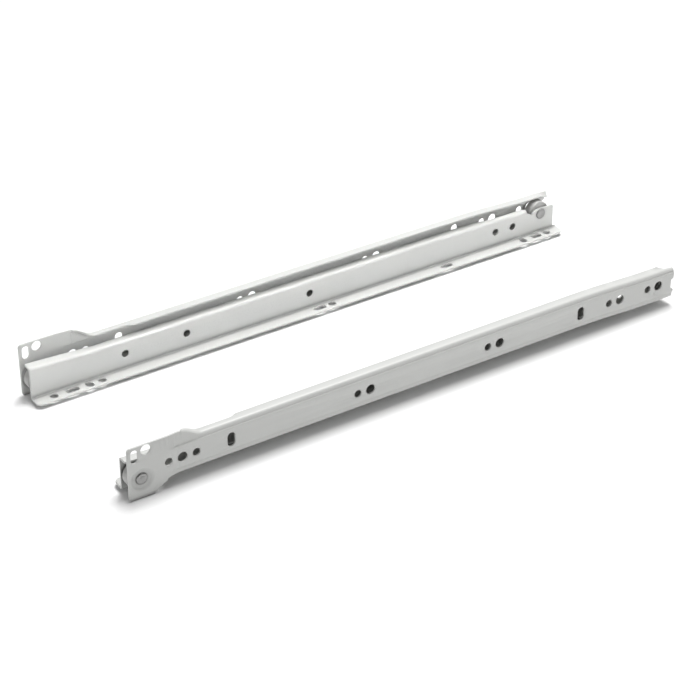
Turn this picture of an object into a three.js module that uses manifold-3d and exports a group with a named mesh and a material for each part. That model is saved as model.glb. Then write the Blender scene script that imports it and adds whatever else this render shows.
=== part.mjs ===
// A pair of roller drawer slides for a cabinet, left and right hand, shown closed.
// Millimetres: +X right, +Y towards the back of the cabinet, +Z up.
//
// One slide is drawn in its own terms and then placed twice, plain and mirrored:
//   u = distance from the cabinet wall's face, towards the drawer
//   s = distance behind the slide's front edge
//   z = height above the row of screw holes in the cabinet member

import * as THREE from 'three';
import { mergeVertices } from 'three/addons/utils/BufferGeometryUtils.js';
import Module from 'manifold-3d';

const wasm = await Module();
wasm.setup();

// ---------- driving dimensions ----------

const slideLength = 400;        // length of the cabinet member
const pairWidth = 135.5;        // from one cabinet wall's face to the other's
const sheet = 1.2;              // thickness of the steel
const insideBend = 0.8;         // inside radius of every bend
const installedDepth = 12;      // wall's face to the face that the drawer's side meets

// rollers and the riveted axles that they turn on
const rollerRadius = 8;
const rollerBoss = { radius: 4.2, height: 0.4 };
const rollerRecess = { radius: 4.5, depth: 1.2 };
const rollerEdge = 0.6;
const axleRadius = 2.25;
const axleHead = { radius: 3.9, height: 0.9, edge: 0.3 };
const rivetHead = { radius: 3.6, height: 0.8, edge: 0.4 };
const rivetCrater = { radius: 1.9, depth: 0.35 };
const rearAxleHeight = 4;       // the rear axle's height over the front axle
const frontAxleMargin = 0.9;    // front roller to the front edge
const rearAxleMargin = 3.5;     // rear roller to the cabinet member's rear edge

// clearances
const runningGap = 0.1;         // axle in its roller, all round
const rivetGap = 0.15;          // rivet to the sheet that it is set in
const rollingGap = 0.2;         // under the rear roller, and over the front one
const bossGap = 0.3;            // roller's boss to the sheet beside it
const frontRollerGap = 1.6;     // front roller's open end to the drawer member
const headroom = 3.4;           // over the rear roller, under the top flange

// cabinet member: a channel that opens towards the drawer
const channelBottom = -10.8;
const bandInset = { top: 3.3, bottom: 4.4 };  // channel's edges to the flat band on the wall
const bandStep = 0.7;           // how far the channel steps in above and below the band
const creaseRun = 0.8;
const bandStart = 23;           // the band fades into the front plate over this stretch
const bandFull = 36;
const flangeShort = { top: 3.2, topFront: 5, bottom: 1.4 };  // flanges' edges to the drawer member
const topFlangeJog = [70, 74.5];
const topOpening = [35, 50];    // each flange widens over this stretch, as its edge
const bottomOpening = [25, 38]; // runs on from the front plate's
const flangeStub = 0.2;         // flat that is left beside the bend where a flange begins
const dipDepth = 1.8;           // the channel's rear end drops to hold the drawer shut
const dipFromEnd = [75, 15];

// front plate of the cabinet member
const plateAbove = 6;           // over the channel's top
const plateBelow = 7;           // under the channel's bottom
const footRun = [16, 33];       // the foot's curve from the plate's bottom to the channel's
const footFullness = 2.2;       // how full the curve from the foot to the channel is
const plateCorner = 2;
const edgeTuck = 2;             // stretch over which an edge slips under the flange's bend
const dish = { beyondRoller: 0.2, slope: 2.8, depth: 1.2, wall: 0.4 };

// screw holes of the cabinet member, spaced to the 32 mm system
const holePitch = 32;
const firstHole = 35;
const lastHoleMargin = 12;
const screwHole = 3.2;          // radii
const pinHole = 2.5;
const pinOffset = 9;
const slotWidth = 5.2;
const slotHeight = 9.2;
const plateSlot = { s: 4.5, below: 6.1, width: 4.5, height: 8.6 };
const plateHole = { s: 11.9, below: 3.7, radius: 3.2 };

// rear end of the cabinet member
const endNotch = { depth: 2, half: 3, flare: 2, below: 1 };
const rearDroop = { run: 9, reach: 4.6, tip: 4.4, bend: 0.6 };  // the top flange turns down

// drawer member: a Z with one flange over the front roller and one under the drawer
const drawerFront = 1;
const lipGap = 3.1;             // upper flange's edge to the cabinet member's web
const lipShortRear = 3;         // reach of the upper flange at the rear
const lipCorner = 1;
const lipRearRun = 4;           // stretch over which the upper flange ends
const lipEndGap = 4;            // its end to the rear roller
const lipScallop = [43.5, 26.5];  // ahead of its end
const frontRise = { height: 2.3, end: 45 };
const drawerShelf = 9.3;        // reach of the lower flange from the web
const shelfDrop = 5;            // its underside below the channel's
const shelfCorner = 4;
const notch = { behindLip: 4.5, run: 3.5, belowTab: 3 };
const tabMargin = 0.5;          // over the rear rivet's head
const tabBehindAxle = 11.1;
const shelfBehindTab = 2.4;
const drawerHole = { radius: 2.45, aboveShelf: 11.3 };
const shelfSlotReach = 4.4;     // from the web to the middle of the shelf's row of holes
const squareHole = { along: 5.2, across: 5.2 };
const longSlot = { along: 9, across: 4.4 };
const wideSlot = { along: 5, across: 6.6 };

// fineness of the curves
const roundSides = 24;
const holeSides = 16;
const bendSteps = 3;
const dipSteps = 4;
const quarterSteps = holeSides / 4;

// how far parts that are joined lap each other, and cutters go past a face
const lap = 0.5;
const past = 1;
const pointGap = 0.01;          // points closer than this are one point
const stationGap = 0.05;        // and so are outlines along the length

// ---------- what follows from them ----------

const bendRadius = sheet + insideBend;
const channelFloor = channelBottom + sheet;
const webOuter = installedDepth;
const webInner = installedDepth - sheet;
const frontStart = sheet + dish.depth + bossGap;
const rearStart = webInner - bossGap;
const rollerWidth = webInner - frontStart - frontRollerGap;

const rearAxle = {
  s: slideLength - rollerRadius - rearAxleMargin,
  z: channelFloor + rollerRadius + rollingGap,
};
const frontAxle = { s: rollerRadius + frontAxleMargin, z: rearAxle.z - rearAxleHeight };
const dishRim = rollerRadius + dish.beyondRoller;
const dishFloor = dishRim - dish.slope;

const channelTop = rearAxle.z + rollerRadius + headroom + sheet;
const bandTop = channelTop - bandInset.top;
const bandBottom = channelBottom + bandInset.bottom;
const topFlange = webInner - flangeShort.top;
const topFlangeFront = webInner - flangeShort.topFront;
const bottomFlange = webInner - flangeShort.bottom;
const flangeRoot = bandStep + bendRadius + flangeStub;
const plateTop = channelTop + plateAbove;
const plateBottom = channelBottom - plateBelow;
const dipRun = dipFromEnd.map((distance) => slideLength - distance);
const lastPitch = Math.floor((slideLength - firstHole - lastHoleMargin) / holePitch);
const screwPitches = [0, 4, lastPitch - 4, lastPitch - 1, lastPitch];
const slotPitches = [1, lastPitch - 2];

const lipTop = frontAxle.z + rollerRadius + rollingGap + sheet;
const lipEdge = sheet + bandStep + lipGap;
const lipEdgeRear = webInner - lipShortRear;
const lipEnd = rearAxle.s - rollerRadius - lipEndGap;
const scallopRun = lipScallop.map((distance) => lipEnd - distance);
const tabTop = rearAxle.z + rivetHead.radius + tabMargin;
const notchPoint = { s: lipEnd + notch.behindLip, z: tabTop - notch.belowTab };
const tabStart = notchPoint.s + notch.run;
const drawerBack = rearAxle.s + tabBehindAxle;
const shelfBack = drawerBack + shelfBehindTab;
const shelfTip = webOuter + drawerShelf;
const drawerBottom = channelBottom - shelfDrop;
const drawerHoles = [65.5, 109, slideLength / 2, lipEnd - 26.5, lipEnd - 12];
const shelfSlots = [
  { s: 13.8, ...squareHole },
  { s: 26.2, ...longSlot },
  { s: 37.8, ...wideSlot },
  { s: 46.5, ...squareHole },
  { s: slideLength / 2 + 4.8, ...longSlot },
  { s: slideLength / 2 + 14.4, ...squareHole },
  { s: shelfBack - 96, ...longSlot },
  { s: shelfBack - 31.4, ...wideSlot },
  { s: shelfBack - 20.4, ...longSlot },
  { s: shelfBack - 10.9, ...squareHole },
];
const pairDepth = Math.max(slideLength, shelfBack);

// ---------- solids ----------

function solidOf(geometry) {
  const bare = geometry.clone();
  bare.deleteAttribute('normal');
  bare.deleteAttribute('uv');
  const merged = mergeVertices(bare, 1e-5);
  return new wasm.Manifold(new wasm.Mesh({
    numProp: 3,
    vertProperties: new Float32Array(merged.attributes.position.array),
    triVerts: new Uint32Array(merged.index.array),
  }));
}

function geometryOf(solid) {
  const mesh = solid.getMesh();
  const geometry = new THREE.BufferGeometry();
  geometry.setAttribute('position', new THREE.BufferAttribute(mesh.vertProperties, 3));
  geometry.setIndex(new THREE.BufferAttribute(mesh.triVerts, 1));
  return geometry;
}

function mirrored(geometry) {
  const copy = geometry.clone().scale(-1, 1, 1);
  const index = copy.index.array.slice();
  for (let i = 0; i < index.length; i += 3) {
    [index[i + 1], index[i + 2]] = [index[i + 2], index[i + 1]];
  }
  copy.setIndex(new THREE.BufferAttribute(index, 1));
  return copy;
}

// Joins a row of outlines, each a loop of [u, z] at its own s, into one closed solid.
// Every loop has the same number of points and starts in the same corner.
function loft(stations) {
  const clockwise = THREE.ShapeUtils.isClockWise(flatPoints(stations[0].loop));
  const loops = stations.map(({ loop }) => (clockwise ? [...loop].reverse() : loop));
  const positions = loops.flatMap((loop, row) => loop.flatMap(([u, z]) => [u, stations[row].s, z]));
  const count = loops[0].length;
  const index = [];
  for (let row = 0; row + 1 < loops.length; row += 1) {
    for (let i = 0; i < count; i += 1) {
      const next = (i + 1) % count;
      const [a, b] = [row * count + i, row * count + next];
      const [c, d] = [a + count, b + count];
      index.push(a, c, b, b, c, d);
    }
  }
  const last = (loops.length - 1) * count;
  for (const [a, b, c] of THREE.ShapeUtils.triangulateShape(flatPoints(loops[0]), [])) {
    index.push(a, b, c);
  }
  for (const [a, b, c] of THREE.ShapeUtils.triangulateShape(flatPoints(loops.at(-1)), [])) {
    index.push(last + a, last + c, last + b);
  }
  const geometry = new THREE.BufferGeometry();
  geometry.setAttribute('position', new THREE.Float32BufferAttribute(positions, 3));
  geometry.setIndex(index);
  return solidOf(geometry);
}

function flatPoints(loop) {
  return loop.map(([u, z]) => new THREE.Vector2(u, z));
}

// A turned solid on an axis that runs along u through (s, z).
function turned(profile, { s, z }, sides = roundSides) {
  const points = profile.map(([radius, u]) => new THREE.Vector2(radius, u));
  const geometry = new THREE.LatheGeometry([...points, points[0]], sides);
  geometry.rotateZ(-Math.PI / 2);
  geometry.translate(0, s, z);
  return solidOf(geometry);
}

// A disc or cone between two distances from the wall.
function plug(axis, from, to, radiusFrom, radiusTo = radiusFrom, sides = roundSides) {
  return turned([[0, from], [radiusFrom, from], [radiusTo, to], [0, to]], axis, sides);
}

// A prism cut from a shape drawn in the plane of s and z, through the sheet along u.
function across(shape, from, to) {
  const geometry = new THREE.ExtrudeGeometry(shape, {
    depth: to - from,
    bevelEnabled: false,
  });
  const turn = new THREE.Matrix4().makeBasis(
    new THREE.Vector3(0, 1, 0),
    new THREE.Vector3(0, 0, 1),
    new THREE.Vector3(1, 0, 0),
  );
  geometry.applyMatrix4(turn);
  geometry.translate(from, 0, 0);
  return solidOf(geometry);
}

// A slot with round ends, centred on (a, b), with its size along each direction.
function slotShape(a, b, along, up) {
  const radius = Math.min(along, up) / 2;
  const [runA, runB] = [along / 2 - radius, up / 2 - radius];
  const corners = [[1, 1], [-1, 1], [-1, -1], [1, -1]];
  const points = corners.flatMap(([signA, signB], quarter) => (
    steps(quarter, quarter + 1, quarterSteps).map((turn) => new THREE.Vector2(
      a + signA * runA + radius * Math.cos(turn * Math.PI / 2),
      b + signB * runB + radius * Math.sin(turn * Math.PI / 2),
    ))
  ));
  const apart = points.filter((point, i) => point.distanceTo(points.at(i - 1)) > pointGap);
  return new THREE.Shape(apart);
}

function cutAll(solid, cutters) {
  return cutters.reduce((rest, cutter) => rest.subtract(cutter), solid);
}

// ---------- curves along the length ----------

const clamp01 = (value) => Math.min(1, Math.max(0, value));
const ramp = (s, [from, to]) => clamp01((s - from) / (to - from));
const ease = (s, run) => (1 - Math.cos(Math.PI * ramp(s, run))) / 2;
const mix = (a, b, share) => a + (b - a) * share;

function steps(from, to, count) {
  return Array.from({ length: count + 1 }, (_, i) => mix(from, to, i / count));
}

function sorted(...lists) {
  const all = lists.flat().sort((a, b) => a - b);
  return all.filter((value, i) => i === 0 || value - all[i - 1] > stationGap);
}

// How far a square corner of the outline is rounded off at a distance from its end.
function corner(distance, radius) {
  if (distance >= radius) return 0;
  return radius - Math.sqrt(radius ** 2 - (radius - Math.max(distance, 0)) ** 2);
}

const dip = (s) => dipDepth * ease(s, dipRun);
const rise = (s) => frontRise.height * (1 - ramp(s, [drawerFront, frontRise.end]));

// ---------- bent sheet ----------

// A flange with its bend, as a loop of [u, z]. The bend starts on the web's outer face at
// (webU, level) and turns towards tipU; up is 1 where the flange is the top one.
function flangeLoop(webU, level, tipU, up, droop = 0) {
  const side = Math.sign(tipU - webU);
  const centre = [webU + side * bendRadius, level - up * bendRadius];
  const arc = (radius) => steps(0, Math.PI / 2, bendSteps).map((angle) => [
    centre[0] - side * radius * Math.cos(angle),
    centre[1] + up * radius * Math.sin(angle),
  ]);
  const outside = [[webU, centre[1] - up * lap], ...arc(bendRadius), [tipU, level - droop]];
  const inside = [
    [tipU, level - up * sheet - droop],
    ...arc(bendRadius - sheet).reverse(),
    [webU + side * sheet, centre[1] - up * lap],
  ];
  return [...outside, ...inside];
}

function flange(places, webU, level, tip, up, droop = () => 0) {
  return loft(places.map((s) => ({ s, loop: flangeLoop(webU(s), level(s), tip(s), up, droop(s)) })));
}

// ---------- cabinet member ----------

// How far the channel stands off the wall, and the levels of its upper and lower edges.
const standOff = (s) => bandStep * ease(s, [bandStart, bandFull]);
const rearTurn = (s) => ramp(s, [slideLength - rearDroop.run, slideLength]);
const tipDroop = (s) => (rearDroop.tip - rearDroop.bend) * rearTurn(s);
const topLevel = (s) => plateTop - plateAbove * ease(s, topOpening) - dip(s);
const footShare = (s) => 1 - (1 - ramp(s, footRun)) ** footFullness;
const bottomLevel = (s) => plateBottom + plateBelow * footShare(s) - dip(s);

// The web's edges slip under the bends where the flanges begin.
function webTopEdge(s) {
  const tuck = bendRadius * ramp(s, [topOpening[0], topOpening[0] + edgeTuck]);
  return topLevel(s) - corner(s, plateCorner) - tuck;
}

function webBottomEdge(s) {
  const tuck = bendRadius * ramp(s, [bottomOpening[0], bottomOpening[0] + edgeTuck]);
  return bottomLevel(s) + corner(s, plateCorner) + tuck;
}

function cabinetWebLoop(s) {
  const step = standOff(s);
  const drop = dip(s);
  const face = [
    [step, webBottomEdge(s)],
    [step, bandBottom - creaseRun - drop],
    [0, bandBottom - drop],
    [0, bandTop - drop],
    [step, bandTop + creaseRun - drop],
    [step, webTopEdge(s)],
  ];
  return [...face, ...face.map(([u, z]) => [u + sheet, z]).reverse()];
}

function topFlangeTip(s) {
  const jog = (topFlange - topFlangeFront) * ease(s, topFlangeJog);
  const reach = mix(flangeRoot, topFlangeFront, ease(s, topOpening)) + jog;
  return mix(reach, rearDroop.reach, rearTurn(s));
}

function bottomFlangeTip(s) {
  const reach = mix(flangeRoot, bottomFlange, Math.sqrt(ramp(s, bottomOpening)));
  return reach - corner(slideLength - s, plateCorner);
}

function cabinetHoles() {
  const cut = (s, z, along, up) => across(slotShape(s, z, along, up), -past, sheet + bandStep + past);
  const round = (s, z, radius) => cut(s, z, 2 * radius, 2 * radius);
  const place = (pitch) => firstHole + pitch * holePitch;
  return [
    ...screwPitches.map((pitch) => round(place(pitch), 0, screwHole)),
    ...screwPitches.map((pitch) => round(place(pitch) - pinOffset, 0, pinHole)),
    round(firstHole + pinOffset, 0, pinHole),
    ...slotPitches.map((pitch) => cut(place(pitch), 0, slotWidth, slotHeight)),
    cut(plateSlot.s, plateTop - plateSlot.below, plateSlot.width, plateSlot.height),
    round(plateHole.s, plateTop - plateHole.below, plateHole.radius),
  ];
}

function endNotchCutter() {
  const { depth, half, flare, below } = endNotch;
  const middle = (bandTop + bandBottom) / 2 - dip(slideLength) - below;
  const upper = [[past, half + flare], [0, half + flare], [-depth, half]];
  const lower = upper.map(([s, z]) => [s, -z]).reverse();
  const outline = [...upper, ...lower].map(([s, z]) => new THREE.Vector2(slideLength + s, middle + z));
  return across(new THREE.Shape(outline), -past, sheet + past);
}

// The seat of the front roller: a shallow dish pressed into the front plate.
function dishBack() {
  const [rim, floor] = [dishRim + dish.wall, dishFloor + dish.wall];
  const profile = [
    [0, sheet / 2],
    [rim, sheet / 2],
    [rim, sheet],
    [floor, sheet + dish.depth],
    [0, sheet + dish.depth],
  ];
  return turned(profile, frontAxle);
}

function dishFront() {
  const widening = dish.slope / dish.depth * lap;
  return plug(frontAxle, -lap, dish.depth, dishRim + widening, dishFloor);
}

// The web and its flanges share their outlines where the front plate turns into the channel.
const openingPlaces = sorted(
  steps(...footRun, 8),
  steps(...bottomOpening, 6),
  steps(bandStart, bandFull, 3),
  steps(...topOpening, 6),
  [bottomOpening[0] + edgeTuck, topOpening[0] + edgeTuck],
);
const placesFrom = (start) => openingPlaces.filter((s) => s > start - stationGap);

function cabinetWeb() {
  const places = sorted(
    steps(0, plateCorner, 3),
    [frontAxle.s],
    openingPlaces,
    steps(...dipRun, dipSteps),
    [slideLength - rearDroop.run, slideLength],
  );
  return loft(places.map((s) => ({ s, loop: cabinetWebLoop(s) })));
}

function topChannelFlange() {
  const places = sorted(
    placesFrom(topOpening[0]),
    steps(...topFlangeJog, 3),
    steps(...dipRun, dipSteps),
    steps(slideLength - rearDroop.run, slideLength, 3),
  );
  const level = (s) => topLevel(s) - rearDroop.bend * rearTurn(s);
  return flange(places, standOff, level, topFlangeTip, 1, tipDroop);
}

function bottomChannelFlange() {
  const places = sorted(
    placesFrom(bottomOpening[0]),
    steps(...dipRun, dipSteps),
    steps(slideLength - plateCorner, slideLength, 3),
  );
  return flange(places, standOff, bottomLevel, bottomFlangeTip, -1);
}

function cabinetMember() {
  const body = cabinetWeb().add(topChannelFlange()).add(bottomChannelFlange()).add(dishBack());
  const rivetHole = plug(frontAxle, -past, frontStart + past, axleRadius + rivetGap);
  return cutAll(body, [dishFront(), rivetHole, ...cabinetHoles(), endNotchCutter()]);
}

// ---------- drawer member ----------

const lipLevel = (s) => lipTop + rise(s);

function drawerWebTop(s) {
  const besideLip = lipLevel(s) - bendRadius;
  if (s <= notchPoint.s) return mix(besideLip, notchPoint.z, ramp(s, [lipEnd, notchPoint.s]));
  const climb = Math.sin(Math.PI / 2 * ramp(s, [notchPoint.s, tabStart]));
  return mix(notchPoint.z, tabTop, climb) - corner(drawerBack - s, plateCorner);
}

function drawerWebLoop(s) {
  const [low, high] = [drawerBottom + bendRadius, drawerWebTop(s)];
  return [[webInner, low], [webInner, high], [webOuter, high], [webOuter, low]];
}

function lipTip(s) {
  const reach = mix(lipEdge, lipEdgeRear, ease(s, scallopRun));
  const root = webOuter - bendRadius - flangeStub;
  const ending = ramp(s, [lipEnd - lipRearRun, lipEnd]) ** 2;
  return mix(reach, root, ending) + corner(s - drawerFront, lipCorner);
}

function shelfEdge(s) {
  return shelfTip - corner(s - drawerFront, shelfCorner) - corner(shelfBack - s, shelfCorner);
}

function drawerWeb() {
  const places = sorted(
    [drawerFront, frontRise.end, lipEnd],
    steps(notchPoint.s, tabStart, 4),
    steps(drawerBack - plateCorner, drawerBack, 3),
  );
  return loft(places.map((s) => ({ s, loop: drawerWebLoop(s) })));
}

function lip() {
  const places = sorted(
    steps(drawerFront, drawerFront + lipCorner, 2),
    [frontRise.end],
    steps(...scallopRun, 5),
    steps(lipEnd - lipRearRun, lipEnd, 3),
  );
  return flange(places, () => webOuter, lipLevel, lipTip, 1);
}

function shelf() {
  const places = sorted(
    steps(drawerFront, drawerFront + shelfCorner, 5),
    steps(shelfBack - shelfCorner, shelfBack, 5),
  );
  return flange(places, () => webInner, () => drawerBottom, shelfEdge, -1);
}

// The shelf's flat reaches a little further back than the web and its bend.
function heelRelief() {
  const floor = drawerBottom + sheet + flangeStub;
  const corners = [[drawerBack, floor], [shelfBack + past, floor], [shelfBack + past, 0], [drawerBack, 0]];
  const shape = new THREE.Shape(corners.map(([s, z]) => new THREE.Vector2(s, z)));
  return across(shape, webInner - past, webOuter + bendRadius);
}

function shelfSlotCutter({ s, along, across: wide }) {
  const shape = slotShape(webOuter + shelfSlotReach, s, wide, along);
  const geometry = new THREE.ExtrudeGeometry(shape, { depth: sheet + 2 * past, bevelEnabled: false });
  geometry.translate(0, 0, drawerBottom - past);
  return solidOf(geometry);
}

function drawerHoleCutter(s) {
  const centre = { s, z: drawerBottom + drawerHole.aboveShelf };
  return plug(centre, webInner - past, webOuter + past, drawerHole.radius, drawerHole.radius, holeSides);
}

function drawerMember() {
  const rivetHole = plug(rearAxle, webInner - past, webOuter + past, axleRadius + rivetGap);
  return cutAll(drawerWeb().add(lip()).add(shelf()), [
    heelRelief(),
    rivetHole,
    ...drawerHoles.map(drawerHoleCutter),
    ...shelfSlots.map(shelfSlotCutter),
  ]);
}

// ---------- rollers and axles ----------

// Both are drawn on a, the distance from the roller's boss end towards its recessed end,
// and laid out along u by a start and a direction.

function placedProfile(profile, start, direction) {
  const placed = profile.map(([radius, a]) => [radius, start + direction * a]);
  return direction > 0 ? placed : placed.reverse();
}

function roller(axis, start, direction) {
  const bore = axleRadius + runningGap;
  const profile = [
    [bore, 0],
    [rollerBoss.radius, 0],
    [rollerBoss.radius, rollerBoss.height],
    [rollerRadius - rollerEdge, rollerBoss.height],
    [rollerRadius, rollerBoss.height + rollerEdge],
    [rollerRadius, rollerWidth - rollerEdge],
    [rollerRadius - rollerEdge, rollerWidth],
    [rollerRecess.radius, rollerWidth],
    [rollerRecess.radius, rollerWidth - rollerRecess.depth],
    [bore, rollerWidth - rollerRecess.depth],
  ];
  return turned(placedProfile(profile, start, direction), axis);
}

// A stepped rivet: its head holds the roller, and its far end is closed over the sheet.
function axle(axis, start, direction) {
  const headBase = rollerWidth - rollerRecess.depth + runningGap;
  const sheetFar = -bossGap - sheet - rivetGap;
  const end = sheetFar - rivetHead.height;
  const profile = [
    [0, end + rivetCrater.depth],
    [rivetCrater.radius, end],
    [rivetHead.radius - rivetHead.edge, end],
    [rivetHead.radius, end + rivetHead.edge],
    [rivetHead.radius, sheetFar],
    [axleRadius, sheetFar],
    [axleRadius, headBase],
    [axleHead.radius, headBase],
    [axleHead.radius, headBase + axleHead.height - axleHead.edge],
    [axleHead.radius - axleHead.edge, headBase + axleHead.height],
    [0, headBase + axleHead.height],
  ];
  return turned(placedProfile(profile, start, direction), axis);
}

// ---------- the pair ----------

const steelPaint = { color: new THREE.Color(0.8, 0.81, 0.8), roughness: 0.45, metalness: 0.1 };
const nylon = { color: new THREE.Color(0.72, 0.72, 0.7), roughness: 0.4, metalness: 0 };
const zincSteel = { color: new THREE.Color(0.62, 0.63, 0.64), roughness: 0.35, metalness: 0.9 };

const pieces = [
  ['cabinet_member', cabinetMember(), steelPaint],
  ['front_axle', axle(frontAxle, frontStart, 1), zincSteel],
  ['front_roller', roller(frontAxle, frontStart, 1), nylon],
  ['drawer_member', drawerMember(), steelPaint],
  ['rear_axle', axle(rearAxle, rearStart, -1), zincSteel],
  ['rear_roller', roller(rearAxle, rearStart, -1), nylon],
];

const pair = new THREE.Group();
for (const side of ['left', 'right']) {
  const hand = new THREE.Group();
  hand.position.set((side === 'left' ? -1 : 1) * pairWidth / 2, -pairDepth / 2, -plateBottom);
  for (const [name, solid, finish] of pieces) {
    const plain = geometryOf(solid);
    const geometry = side === 'left' ? plain : mirrored(plain);
    const mesh = new THREE.Mesh(geometry, new THREE.MeshStandardMaterial(finish));
    mesh.name = `${side}_${name}`;
    hand.add(mesh);
  }
  pair.add(hand);
}

export default pair;
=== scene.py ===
"""A pair of roller drawer slides, modelled in bent sheet, nylon and riveted steel."""

import math

import bmesh
import bpy
from bpy.props import FloatProperty, FloatVectorProperty, IntProperty, PointerProperty
from bpy.types import Operator, Panel, PropertyGroup
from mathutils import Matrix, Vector


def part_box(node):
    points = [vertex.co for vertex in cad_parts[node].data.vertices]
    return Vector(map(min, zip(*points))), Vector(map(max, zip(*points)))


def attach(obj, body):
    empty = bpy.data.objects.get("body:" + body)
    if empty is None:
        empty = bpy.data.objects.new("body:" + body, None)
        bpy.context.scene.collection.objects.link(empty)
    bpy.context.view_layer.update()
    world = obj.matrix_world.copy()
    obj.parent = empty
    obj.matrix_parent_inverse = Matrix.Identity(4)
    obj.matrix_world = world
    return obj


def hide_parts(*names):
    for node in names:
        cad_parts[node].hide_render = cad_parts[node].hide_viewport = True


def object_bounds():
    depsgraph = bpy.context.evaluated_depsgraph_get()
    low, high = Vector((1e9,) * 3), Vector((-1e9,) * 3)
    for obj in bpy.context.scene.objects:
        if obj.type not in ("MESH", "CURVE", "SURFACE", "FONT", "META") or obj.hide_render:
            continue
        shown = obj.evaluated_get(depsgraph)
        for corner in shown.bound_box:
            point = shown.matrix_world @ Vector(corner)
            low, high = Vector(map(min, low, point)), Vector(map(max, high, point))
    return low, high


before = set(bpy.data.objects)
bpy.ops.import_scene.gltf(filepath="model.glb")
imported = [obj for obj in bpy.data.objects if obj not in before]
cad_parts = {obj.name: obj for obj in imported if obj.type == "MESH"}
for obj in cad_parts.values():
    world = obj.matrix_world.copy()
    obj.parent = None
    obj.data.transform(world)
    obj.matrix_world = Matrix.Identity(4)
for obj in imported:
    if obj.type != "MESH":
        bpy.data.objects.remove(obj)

bl_info = {
    "name": "Roller Drawer Slides",
    "version": (1, 0, 0),
    "blender": (4, 5, 0),
    "location": "View3D > Sidebar > Drawer Slides",
    "description": "Models a left and a right roller drawer slide",
    "category": "Object",
}

CAD_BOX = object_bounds()
MM = 0.001

# ---------- where the slide stands ----------
# A slide is modelled in its own terms: x from the cabinet wall's face towards the drawer,
# y back from its front edge, and z up from the row of screw holes, all in millimetres.

CABINET_LOW, CABINET_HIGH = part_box("left_cabinet_member")
DRAWER_LOW, DRAWER_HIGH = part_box("left_drawer_member")
PLATE_BOTTOM = -17.8            # the front plate's lowest edge, under the row of screw holes
PLATE_ABOVE = 6                 # front plate over the channel's top
PLATE_BELOW = 7                 # and under the channel's bottom
WALL_X = CABINET_LOW.x / MM
FRONT_Y = CABINET_LOW.y / MM
LINE_Z = CABINET_LOW.z / MM - PLATE_BOTTOM

LENGTH = (CABINET_HIGH.y - CABINET_LOW.y) / MM
PLATE_TOP = (CABINET_HIGH.z - CABINET_LOW.z) / MM + PLATE_BOTTOM
CHANNEL_TOP = PLATE_TOP - PLATE_ABOVE
CHANNEL_BOTTOM = PLATE_BOTTOM + PLATE_BELOW
SHELF_BOTTOM = DRAWER_LOW.z / MM - LINE_Z
SHELF_TIP = DRAWER_HIGH.x / MM - WALL_X
SHELF_BACK = DRAWER_HIGH.y / MM - FRONT_Y


def centre_of(node):
    """Where a turned node's axis crosses the slide's length and height."""
    low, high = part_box(node)
    middle = (low + high) / 2
    return middle.y / MM - FRONT_Y, middle.z / MM - LINE_Z


FRONT_AXLE = centre_of("left_front_roller")
REAR_AXLE = centre_of("left_rear_roller")
ROLLER_RADIUS = (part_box("left_front_roller")[1].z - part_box("left_front_roller")[0].z) / MM / 2
FRONT_ROLLER_SPAN = [end.x / MM - WALL_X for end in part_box("left_front_roller")]
REAR_ROLLER_SPAN = [end.x / MM - WALL_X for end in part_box("left_rear_roller")]
SHEET = 1.2
AXLE_RADIUS = 2.25
ROLLING_GAP = 0.2               # a roller's tread to the sheet that rolls on it
RUNNING_GAP = 0.1               # an axle in its roller, all round
RIVET_GAP = 0.15                # a rivet to the sheet that it is set in
BOSS_GAP = 0.3                  # a roller's boss to the sheet beside it
ROW_SLACK = 0.02                # how far off its row a point may be
SLACK = 0.05                    # margin before a row from which all the rest is taken


# ---------- sizes and colours a user would change ----------


def size(name, description, default, **limits):
    """A length, held in millimetres as its description says."""
    return FloatProperty(
        name=name, description=f"{description}, in millimetres", default=default, **limits)


def colour(name, description, default):
    """A colour that a finish starts from."""
    return FloatVectorProperty(
        name=name, description=description, default=default,
        subtype="COLOR", size=3, min=0, max=1,
    )


class SheetSizes(PropertyGroup):
    """Sizes of the bent steel."""

    thickness: size("Thickness", "Thickness of the steel", SHEET, min=0.5, max=3)
    bend: size("Bend", "Outside radius of a bend", 2.0, min=1, max=5)
    edge: size("Edge", "Rounding of the cut edges", 0.2, min=0.02, max=0.5)
    band_step: size("Band step", "How far the channel steps in beside the wall band", 0.7)
    dip: size("Dip", "How far the channel's rear end drops", 1.8)
    rise: size("Rise", "How far the drawer rail's lip rises at the front", 2.3)
    installed: size("Depth", "Wall's face to the drawer's side", 12.0)


class HoleSizes(PropertyGroup):
    """Sizes of the stamped holes."""

    pitch: size("Pitch", "Spacing of the screw holes", 32.0)
    first: size("First hole", "First screw hole behind the front edge", 35.0)
    screw: size("Screw hole", "Radius of a screw hole", 3.2)
    pin: size("Pin hole", "Radius of a pin hole", 2.5)
    sides: IntProperty(
        name="Sides", description="Sides of a round hole", default=40, min=12, max=96)


class Finishes(PropertyGroup):
    """Colours of the finishes."""

    coat: colour("Powder coat", "Colour of the coated steel", (0.55, 0.555, 0.54))
    nylon: colour("Nylon", "Colour of the rollers", (0.38, 0.38, 0.37))
    zinc: colour("Zinc", "Colour of the plated rivets", (0.3, 0.3, 0.295))
    floor: colour("Floor", "Colour of the floor", (0.9, 0.9, 0.9))


def sizes():
    return bpy.context.scene.slide_sheet


def holes():
    return bpy.context.scene.slide_holes


def finishes():
    return bpy.context.scene.slide_finishes


# ---------- curves along the length ----------

PLACE_GAP = 0.12                # places closer than this are one place


def clamp(value):
    return min(1.0, max(0.0, value))


def ramp(y, start, end):
    return clamp((y - start) / (end - start))


def ease(y, start, end):
    return (1 - math.cos(math.pi * ramp(y, start, end))) / 2


def mix(a, b, share):
    return a + (b - a) * share


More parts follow.
